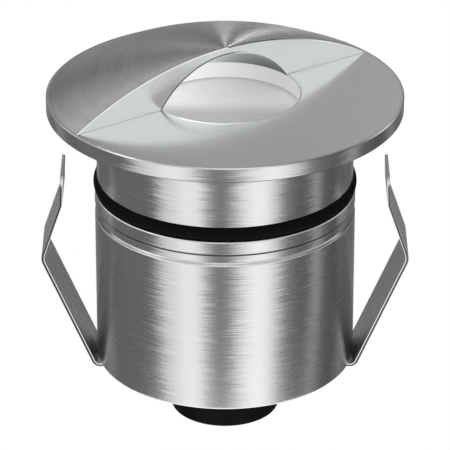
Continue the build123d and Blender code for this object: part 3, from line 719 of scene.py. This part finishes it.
# Painted shade: the flange's bottom chamfer gets the dark steel
give(band(bm, 0, bottom_chamfer, flange_radius - bottom_chamfer), painted_shade_edge, cover_finishes)
above_flange = (flange_top + 0.01) * MM
arc_edges = [
    e for e in bm.edges
    if e.is_boundary and in_hood_plane(e) and max(v.co.z for v in e.verts) > above_flange
]
hood_face = bmesh.ops.bridge_loops(bm, edges=arc_edges)["faces"]
give(hood_face, facet_steel, cover_finishes)
bmesh.ops.recalc_face_normals(bm, faces=bm.faces)
print("open edges left on the cover:", len([e for e in bm.edges if e.is_boundary]))

# %% [markdown]
# No machined edge is left as sharp as the mesh is now. A small bevel catches a line of light, which
# is how the eye finds the edge. The arch has a wide one, made by hand with a file, and the crest of
# the hood only a hair's breadth. Along the flat the window's edge was left standing up a little.

# %% Broken edges of the cover
arch_bevel = 0.2               # mm
crest_bevel = 0.12


def on_sphere(edge, radius, height):
    """True for an edge that lies on the sphere with its centre on the axis at that height."""
    centre = Vector((0, 0, height)) * MM
    return all(abs((v.co - centre).length - radius * MM) < 0.005 * MM for v in edge.verts)


hood_edges = [e for e in bm.edges if in_hood_plane(e)]
arch_edges = [e for e in hood_edges if on_sphere(e, *hollow_sphere)]
crest_edges = [e for e in hood_edges if on_sphere(e, *sphere_of(dome_foot, dome_rise))]
# Only the left part of each bevel gets a finish of its own, up to so many mm past the axis
for edges, size, finish, end in (
    (arch_edges, arch_bevel, rubbed_edge, 2.0), (crest_edges, crest_bevel, bright_edge, 0.5),
):
    made = bevel(bm, edges, size)
    left = [f for f in made if f.calc_center_median().dot(along) < end * MM]
    give(left, finish, cover_finishes)
    print("bevelled", len(edges), "edges,", len(left), "faces of them on the left")
finish_piece(bm, "cover", "root", cover_finishes, ["hooded_cover"])

# %% [markdown]
# The window is a thick disc of glass. Etching leaves its top matt, so it scatters what comes
# through and looks milky: some transmission, a high roughness and a pale body colour. It also
# glows with painted light, most at the back and towards the left.

# %% Frosted glass
glass_low, glass_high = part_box("window_lens")
glass_radius = glass_high.x / MM
glass_top = glass_high.z / MM
glass_bottom = glass_low.z / MM
glass_edge = 0.3
pit_size = 0.25
cloud_size = 9
frosted_glass, tree, place = start_material("etched_soda_glass_painted_glow")
etch = add(
    tree, "ShaderNodeTexNoise", {"Scale": 1 / (pit_size * MM), "Detail": 3.0}, {"Vector": place}
)
_, shade, gloss = drifting(
    tree, place, {"Scale": 1 / (cloud_size * MM), "Detail": 1.0},
    [(0.3, linear("#adadad")), (0.7, linear("#b5b5b5"))], 0.34, 0.46,
)
pits = add(tree, "ShaderNodeBump", {"Strength": 0.12, "Distance": 0.02 * MM}, {"Height": etch})
# Painted light: the glass glows, most at the back and towards the left, as if light that entered
# at the open front spread through it and came out there
split = add(tree, "ShaderNodeSeparateXYZ", links={"Vector": place})
painted_glow_rear = add(
    tree, "ShaderNodeMapRange",
    {**span(-2.5 * MM, 3.5 * MM), "interpolation_type": "SMOOTHSTEP"},
    {"Value": split.outputs["Y"]},
)
painted_glow_fade = add(
    tree, "ShaderNodeMapRange", span(-8 * MM, 12 * MM, 0.78, 0.46), {"Value": split.outputs["X"]}
)
glow = add(tree, "ShaderNodeMath", {"operation": "MULTIPLY"}, {0: painted_glow_rear, 1: painted_glow_fade})
glass = add(
    tree, "ShaderNodeBsdfPrincipled", {"IOR": 1.52, "Transmission Weight": 0.12},
    {
        "Base Color": shade, "Emission Color": shade, "Emission Strength": glow,
        "Roughness": gloss, "Normal": pits,
    },
)
add(tree, "ShaderNodeOutputMaterial", links={"Surface": glass})

turned_piece("window_glass", frosted_glass, "window_lens", [
    (0, glass_bottom), (glass_radius - glass_edge, glass_bottom),
    (glass_radius, glass_bottom + glass_edge), (glass_radius, glass_top - glass_edge),
    (glass_radius - glass_edge, glass_top), (0, glass_top),
])

# %% [markdown]
# Rubber and nylon are both black here, but the eye tells them apart by their gloss. The seal is
# nitrile rubber, matt with a faint bloom. The gland is moulded nylon, a little smoother, with its
# mould's fine orange peel. Neither is pure black, or it would show no form, but the studio is white
# all round, so a low index lets them mirror little of it. The first function serves the inner parts
# as well.

# %% Rubber and nylon
def grained(name, noise, stops, gloss, grain, depth, settings):
    """A drifting finish with a fine grain in its surface, grain mm wide and depth mm high."""
    material, tree, place = start_material(name)
    _, shade, roughness = drifting(tree, place, noise, stops, *gloss)
    skin = add(
        tree, "ShaderNodeTexNoise", {"Scale": 1 / (grain * MM), "Detail": 2.0}, {"Vector": place}
    )
    raised = {"Strength": 0.5, "Distance": depth * MM}
    relief = add(tree, "ShaderNodeBump", raised, {"Height": skin})
    surface = add(
        tree, "ShaderNodeBsdfPrincipled", settings,
        {"Base Color": shade, "Roughness": roughness, "Normal": relief},
    )
    add(tree, "ShaderNodeOutputMaterial", links={"Surface": surface})
    return material


def moulded_black(name, tint, roughness, grain):
    """Black moulded material with a faint bloom."""
    return grained(
        name, {"Scale": 1 / (bloom_size * MM), "Detail": 2.0},
        [(0.35, linear(tint)), (0.7, linear(tint, 1.5))], (roughness - 0.06, roughness + 0.06),
        grain, 0.01, {"IOR": 1.15},
    )


bloom_size = 6                 # mm
nitrile_rubber = moulded_black("nitrile_rubber", "#080808", 0.66, 0.3)
black_nylon = moulded_black("moulded_nylon", "#0b0b0b", 0.42, 0.5)

# %% [markdown]
# The seal is an O-ring: a rubber cord of round section, closed into a ring. It is pressed between
# the neck and the collar, so it bulges past both. A circle spun round the axis makes it.

# %% Neck seal
seal_low, seal_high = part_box("neck_o_ring")
seal_section = (seal_high.z - seal_low.z) / MM / 2
seal_centre = (seal_high.x / MM - seal_section, (seal_high.z + seal_low.z) / MM / 2)
seal_circle = arc(seal_centre, seal_section, 0, 360, 32)
turned_piece("neck_seal", nitrile_rubber, "neck_o_ring", seal_circle)

# %% [markdown]
# Under the seal comes a plain collar, and then the barrel: a turned cup. Its head has a recessed
# seam, a short taper and two fine scored lines, and its foot a wide bevel. All of this is in the
# profile, because only real geometry gives these lines their pairs of light and dark. The seam's
# recessed face is darkened as well, with painted shade.

# %% Collar and barrel
barrel_radius = 22.1
collar_top = -14.6
seam_top = -16.8
seam_bottom = seam_top - 0.4
seam_radius = barrel_radius - 0.35
taper_radius = barrel_radius - 0.25     # where the taper starts, and where it ends
taper_end_radius = barrel_radius - 0.2
taper_bottom = seam_bottom - 1.1
score_radius = barrel_radius - 0.32
score_pitch = 0.3
collar_edge = 0.15             # sizes of broken edges
shoulder_edge = 0.1
joint_edge = 0.05
barrel_bottom = -46.0
foot_corner = ((21.4, -46.0), (21.75, -45.9), (22.0, -45.65), (22.1, -45.3))
socket_radius = 19.75
socket_bottom = -23.55
cup_radius = 18.9
cup_floor = -44.0
hole_radius = 5.05             # of the holes for the gland, in the barrel, the clip and the washer

collar_finishes = [belt_ground_steel, rubbed_edge]
bm = bmesh.new()
spin(bm, profile(bm, [
    (barrel_radius, seam_top + joint_edge), (barrel_radius, collar_top - collar_edge),
    (barrel_radius - collar_edge, collar_top), (socket_radius, collar_top),
    (socket_radius, seam_top), (barrel_radius - joint_edge, seam_top),
    (barrel_radius, seam_top + joint_edge),
]))
rim = band(bm, collar_top - collar_edge, collar_top, barrel_radius - collar_edge)
give(rim, rubbed_edge, collar_finishes)
finish_piece(bm, "collar", "root", collar_finishes, ["collar_ring"])

scored = []
for n in range(2):
    scored.append((taper_end_radius, taper_bottom - n * score_pitch))
    scored.append((score_radius, taper_bottom - (n + 0.5) * score_pitch))
shoulder = taper_bottom - 2 * score_pitch
barrel_finishes = [belt_ground_steel, painted_shade_edge, rubbed_edge]
bm = bmesh.new()
spin(bm, profile(bm, [
    (hole_radius, barrel_bottom), *foot_corner, (barrel_radius, shoulder - shoulder_edge),
    (barrel_radius - shoulder_edge, shoulder), *reversed(scored), (taper_radius, seam_bottom),
    (seam_radius, seam_bottom), (seam_radius, seam_top), (socket_radius, seam_top),
    (socket_radius, socket_bottom), (cup_radius, socket_bottom), (cup_radius, cup_floor),
    (hole_radius, cup_floor), (hole_radius, barrel_bottom),
]))
# Painted shade: the recessed seam's face gets the dark steel
give(band(bm, seam_bottom, seam_top, seam_radius - 0.05), painted_shade_edge, barrel_finishes)
rim = band(bm, shoulder - shoulder_edge, shoulder, barrel_radius - shoulder_edge)
give(rim, rubbed_edge, barrel_finishes)
finish_piece(bm, "barrel", "root", barrel_finishes, ["housing_barrel"])

# %% [markdown]
# The clip is a strip of spring steel, rolled thin and bright, then bent. Rolling leaves faint lines
# along the strip. It is one strip from tab to tab, but it flexes at its bends, so here it is a flat
# middle and, on each side, two lengths that meet half way up the lower arm.
#
# A strip is easiest to make as it is made in the shop: take its edge, push it straight for a
# stretch, turn it round a bend, and go on. Here that is one row of edges, extruded and spun, which
# then gets its thickness.

# %% Rolled spring steel
def rolled_steel(name, tint, roughness, line_length, line_width):
    """Bright strip with rolling lines along X and Z and across Y, both sizes in mm."""
    material, tree, place = start_material(name)
    scales = (1 / (line_length * MM), 1 / (line_width * MM), 1 / (line_length * MM))
    stretched = add(tree, "ShaderNodeVectorMath", {"operation": "MULTIPLY", 1: scales}, {0: place})
    lines, shade, gloss = drifting(
        tree, stretched, {"Scale": 1.0, "Detail": 2.0},
        [(0.3, linear(tint, 0.9)), (0.7, linear(tint))], roughness * 0.8, roughness * 1.2,
    )
    raised = {"Strength": 0.25, "Distance": 0.01 * MM}
    marks = add(tree, "ShaderNodeBump", raised, {"Height": lines})
    metal = add(
        tree, "ShaderNodeBsdfPrincipled", {"Metallic": 1.0},
        {"Base Color": shade, "Roughness": gloss, "Normal": marks},
    )
    add(tree, "ShaderNodeOutputMaterial", links={"Surface": metal})
    return material


sheared_steel = milled_steel("sheared_edge", "#b4b6b6", 0.12, 2.0)
spring_steel = rolled_steel("rolled_spring_steel", "#e2e4e3", 0.30, 14.0, 0.35)
strip_finishes = [spring_steel, sheared_steel, strip_burr]

# %% Strip sizes and helpers
strip_width = 11.4
strip_thickness = 0.5
strip_top = barrel_bottom      # height of the strip's inner side
foot_reach = 21.55             # where it starts to bend up
foot_bend = 0.85               # inner radii of the bends
elbow_bend = 2.4
tab_bend = 1.4
lower_lean = 23.3              # degrees from the vertical, outwards
upper_lean = 18.8              # and inwards
tab_lean = 2.0
lower_length = 20.5
upper_length = 9.4
tab_length = 4.6
tab_corner = 1.7
sheared_edge = 0.10


class Strip:
    """A strip of edges that is pushed and bent in the XZ plane. Its inner side is drawn."""

    def __init__(self, x, z, lean):
        self.bm = bmesh.new()
        self.x, self.z, self.lean = x, z, lean
        rows = 6               # faces across the strip
        across = [(n / rows - 0.5) * strip_width for n in range(rows + 1)]
        verts = [self.bm.verts.new(Vector((x, y, z)) * MM) for y in across]
        self.front = verts + [self.bm.edges.new(pair) for pair in zip(verts, verts[1:])]

    def _edges(self):
        return [e for e in self.front if isinstance(e, bmesh.types.BMEdge)]

    def push(self, length, steps=1):
        """Goes straight on for a length in mm."""
        lean = math.radians(self.lean)
        step = Vector((math.sin(lean), 0, math.cos(lean))) * (length / steps)
        for _ in range(steps):
            made = bmesh.ops.extrude_edge_only(self.bm, edges=self._edges())["geom"]
            self.front = [g for g in made if not isinstance(g, bmesh.types.BMFace)]
            verts = [g for g in made if isinstance(g, bmesh.types.BMVert)]
            bmesh.ops.translate(self.bm, verts=verts, vec=step * MM)
        self.x += step.x * steps
        self.z += step.z * steps

    def turn(self, radius, lean, steps=10):
        """Bends until it leans that far. A bend towards smaller leans turns the strip inwards."""
        side = 1 if lean < self.lean else -1
        a = math.radians(self.lean)
        inwards = Vector((-math.cos(a), 0, math.sin(a))) * side
        centre = Vector((self.x, 0, self.z)) + inwards * radius
        angle = math.radians(lean - self.lean)
        made = bmesh.ops.spin(
            self.bm, geom=self.front, cent=centre * MM, axis=(0, 1, 0), angle=angle, steps=steps
        )
        self.front = [g for g in made["geom_last"] if not isinstance(g, bmesh.types.BMFace)]
        b = math.radians(lean)
        self.x = centre.x + side * radius * math.cos(b)
        self.z = centre.z - side * radius * math.sin(b)
        self.lean = lean

    def end(self):
        """Point and direction of the strip's present end."""
        lean = math.radians(self.lean)
        return Vector((self.x, 0, self.z)), Vector((math.sin(lean), 0, math.cos(lean)))

    def round_corners(self, radius):
        """Rounds the two corners of the present end."""
        verts = [g for g in self.front if isinstance(g, bmesh.types.BMVert)]
        corners = [v for v in verts if abs(v.co.y) > (strip_width / 2 - 0.01) * MM]
        bevel(self.bm, corners, radius, 8, "VERTICES")


print("strip:", strip_width, "mm wide and", strip_thickness, "mm thick")

# %% [markdown]
# The flat middle of the clip is a bar with a round eye, which the gland clamps. Seen from the axis,
# its outline is as far off as the bar's or the eye's, whichever is further. So it can be walked
# round by angle, with the edge of the hole beside it.

# %% Flat middle of the clip
clip_join = 18.0               # mm from the axis, where the sides take over
leg_join = 10.0                # how far up the lower leg the two lengths of a side meet
eye_radius = 8.6


def bar_reach(angle):
    """Distance from the axis to the outline of the bar with its eye, in that direction."""
    to_end = clip_join / max(abs(math.cos(angle)), 1e-6)
    to_side = strip_width / 2 / max(abs(math.sin(angle)), 1e-6)
    return max(min(to_end, to_side), eye_radius)


corner_turn = math.atan2(strip_width / 2, clip_join)
shoulder_turn = math.asin(strip_width / 2 / eye_radius)
quarter = [0.0, corner_turn / 2, corner_turn, (corner_turn + shoulder_turn) / 2]
quarter += [shoulder_turn + (math.pi / 2 - shoulder_turn) * n / 8 for n in range(8)]
half_round = quarter + [math.pi / 2] + [math.pi - a for a in reversed(quarter[1:])]
bm = bmesh.new()
outer, inner = [], []
for angle in half_round + [a + math.pi for a in half_round]:
    direction = Vector((math.cos(angle), math.sin(angle), 0))
    for ring, reach in ((outer, bar_reach(angle)), (inner, hole_radius)):
        ring.append(bm.verts.new((direction * reach + Vector((0, 0, strip_top))) * MM))
for n in range(len(outer)):
    bm.faces.new((outer[n - 1], outer[n], inner[n], inner[n - 1]))
bm.normal_update()
bmesh.ops.solidify(bm, geom=bm.faces[:], thickness=strip_thickness * MM)
long_edges = [
    e for e in bm.edges
    if all(abs(abs(v.co.y) - strip_width / 2 * MM) < weld_gap / 2 for v in e.verts)
    and abs(e.verts[0].co.x - e.verts[1].co.x) > 0.1 * MM
]
bevel(bm, long_edges, sheared_edge, 2)
finish_piece(bm, "clip_middle", "root", [spring_steel], ["clip_strip"])

# %% [markdown]
# Each side of the clip has two lengths. The lower one starts flat under the barrel, bends up and
# climbs half of the leg. The upper one takes the rest of the leg, bends in over the elbow and ends
# in a tab with rounded corners. The left side is the right one mirrored.

# %% Sides of the clip
joints = {joint["name"]: joint for joint in frame["joints"]}


def strip_side(strip, ends, side, name, joint_name):
    """Gives the strip its thickness and breaks its edges but for the butt ends. The joint only
    names the CAD node that it hides.
    """
    bm = strip.bm
    bmesh.ops.remove_doubles(bm, verts=bm.verts, dist=weld_gap)
    bm.normal_update()
    bmesh.ops.solidify(bm, geom=bm.faces[:], thickness=strip_thickness * MM)
    bm.normal_update()
    sharp = []
    for edge in bm.edges:
        butt = any(
            all(abs((v.co / MM - point).dot(way)) < 0.01 for v in edge.verts) for point, way in ends
        )
        if edge.calc_face_angle(0) > 1.2 and not butt:
            sharp.append(edge)
    broken = bevel(bm, sharp, sheared_edge)
    bm.normal_update()
    give([f for f in bm.faces if f.normal.y < -0.9], sheared_steel, strip_finishes)
    burr = [f for f in broken if -0.9 < f.normal.y < -0.3 and f.normal.z - f.normal.x > 0.3]
    give(burr, strip_burr, strip_finishes)
    for vert in bm.verts:
        vert.co.x *= side
    joint = joints[joint_name]
    word = name.split("_")[0]
    piece = finish_piece(
        bm, name, None, strip_finishes,
        [joint["child"].replace(word, word + "_clip")],
    )
    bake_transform(piece)


for side, word in ((1, "right"), (-1, "left")):
    lower = Strip(clip_join, strip_top, 90)
    ends = [lower.end()]
    lower.push(foot_reach - clip_join, 5)
    lower.turn(foot_bend, lower_lean)
    lower.push(leg_join, 10)
    ends.append(lower.end())
    strip_side(
        lower, ends, side, word + "_clip_foot", word + "_foot_bend"
    )
    upper = Strip(lower.x, lower.z, lower_lean)
    ends = [upper.end()]
    upper.push(lower_length - leg_join, 10)
    upper.turn(elbow_bend, -upper_lean)
    upper.push(upper_length, 9)
    upper.turn(tab_bend + strip_thickness, -tab_lean)
    upper.push(tab_length)
    upper.round_corners(tab_corner)
    strip_side(
        upper, ends, side, word + "_clip_elbow", word + "_elbow_bend"
    )

# %% [markdown]
# The gland is a stock item in moulded nylon: a rubber washer, a collar, and a round cap nut that
# screws up over a nose and squeezes a rubber seal. No cord is shown, so its bore is open. Moulded
# edges are always a little round.

# %% Cable gland
gland_radius = 9.3
washer_bottom = -47.5
washer_top = -46.5
collar_bottom = -50.5
nose_radius = 7.2
nose_bottom = -54.1
cap_top = -50.55
cap_bore = 7.25
cap_floor = -54.8
cap_bottom = -56.4
stem_radius = 5.0
stem_top = -40.7
stem_bore = 3.0
seal_bore = 4.65
washer_edge = 0.15             # sizes of the rounded edges
nylon_edge = 0.2
cap_edge = 0.5


def soft_corner(corner, size, start, steps=4):
    """Points round a quarter circle of that size inside a corner, from that angle on."""
    towards = math.radians(start + 45)
    centre = (
        corner[0] - size * math.copysign(1, math.cos(towards)),
        corner[1] - size * math.copysign(1, math.sin(towards)),
    )
    return arc(centre, size, start, start + 90, steps)


turned_piece("gland_rubber_washer", nitrile_rubber, "gland_washer", [
    (hole_radius, washer_bottom), *soft_corner((gland_radius, washer_bottom), washer_edge, -90),
    *soft_corner((gland_radius, washer_top), washer_edge, 0), (hole_radius, washer_top),
    (hole_radius, washer_bottom),
])
turned_piece("gland_collar", black_nylon, "gland_body", [
    (stem_bore, collar_bottom), (seal_bore, collar_bottom), (seal_bore, nose_bottom),
    (nose_radius, nose_bottom), (nose_radius, collar_bottom),
    *soft_corner((gland_radius, collar_bottom), nylon_edge, -90),
    *soft_corner((gland_radius, washer_bottom), nylon_edge, 0), (stem_radius, washer_bottom),
    (stem_radius, stem_top), (stem_bore, stem_top), (stem_bore, collar_bottom),
])
turned_piece("gland_cap_nut", black_nylon, "gland_cap", [
    (stem_bore, cap_bottom), *soft_corner((gland_radius, cap_bottom), cap_edge, -90, 6),
    *soft_corner((gland_radius, cap_top), nylon_edge, 0), (cap_bore, cap_top),
    (cap_bore, cap_floor), (stem_bore, cap_floor), (stem_bore, cap_bottom),
])

# %% [markdown]
# What is inside never shows from here, but a part is reused in exploded and cut-away pictures. So
# each inner piece keeps its CAD shape and gets its own finish: a colour and a gloss that drift a
# little, and a fine grain in the surface.

# %% Materials of the inner parts
def plain_finish(name, tint, roughness, patch, metallic=0.0, drift=0.12, depth=0.005, ior=1.5):
    """A finish with patches of slightly other colour and gloss. patch and depth are in mm."""
    return grained(
        name, {"Scale": 1 / (patch * MM), "Detail": 3.0},
        [(0.3, linear(tint, 1 - drift)), (0.7, linear(tint, 1 + drift / 2))],
        (roughness * 0.85, roughness * 1.15), patch / 8, depth, {"Metallic": metallic, "IOR": ior},
    )


inner_finishes = (
    (nitrile_rubber, ["gland_seal"]),
    (
        plain_finish("machined_aluminium", "#c9cac9", 0.32, 2.0, 1.0, 0.06),
        ["lens_retaining_ring", "heat_sink", "driver_capacitor"],
    ),
    (
        plain_finish("vacuum_aluminised_plastic", "#e8e8e6", 0.06, 4.0, 1.0, 0.02, 0.001),
        ["reflector_cup"],
    ),
    (
        plain_finish("zinc_plated_steel", "#b9bcc0", 0.30, 1.0, 1.0, 0.10),
        ["led_board_screws", "driver_screws", "terminal_screws"],
    ),
    (
        plain_finish("glass_filled_nylon", "#1a1a1b", 0.50, 1.5),
        ["driver_standoffs", "gland_locknut"],
    ),
    (plain_finish("clear_silicone_rubber", "#cfd0cc", 0.38, 2.0, ior=1.41), ["lens_gasket"]),
    (plain_finish("neoprene_cushion", "#1b1b1c", 0.70, 1.0), ["lens_cushion"]),
    (plain_finish("filled_silicone_pad", "#8d9398", 0.75, 1.2, ior=1.41), ["thermal_pad"]),
    (plain_finish("white_solder_mask", "#e9eae6", 0.35, 3.0, drift=0.04), ["led_board"]),
    (plain_finish("green_solder_mask", "#1d5b35", 0.30, 3.0), ["driver_board"]),
    (plain_finish("phosphor_silicone", "#e8c84a", 0.45, 0.6, ior=1.41), ["led_packages"]),
    (plain_finish("pvc_insulation", "#b5241f", 0.40, 1.0), ["led_leads"]),
    (plain_finish("sintered_ferrite", "#46484a", 0.62, 0.5), ["driver_inductor"]),
    (plain_finish("moulded_epoxy", "#202022", 0.48, 0.8), ["driver_bridge"]),
    (plain_finish("grey_polyamide", "#8b9094", 0.45, 2.0), ["terminal_block"]),
)
for finish, nodes in inner_finishes:
    for node in nodes:
        mesh = frame["nodes"][node].data
        mesh.materials.clear()
        mesh.materials.append(finish)
print(sum(len(nodes) for _, nodes in inner_finishes), "inner parts finished")
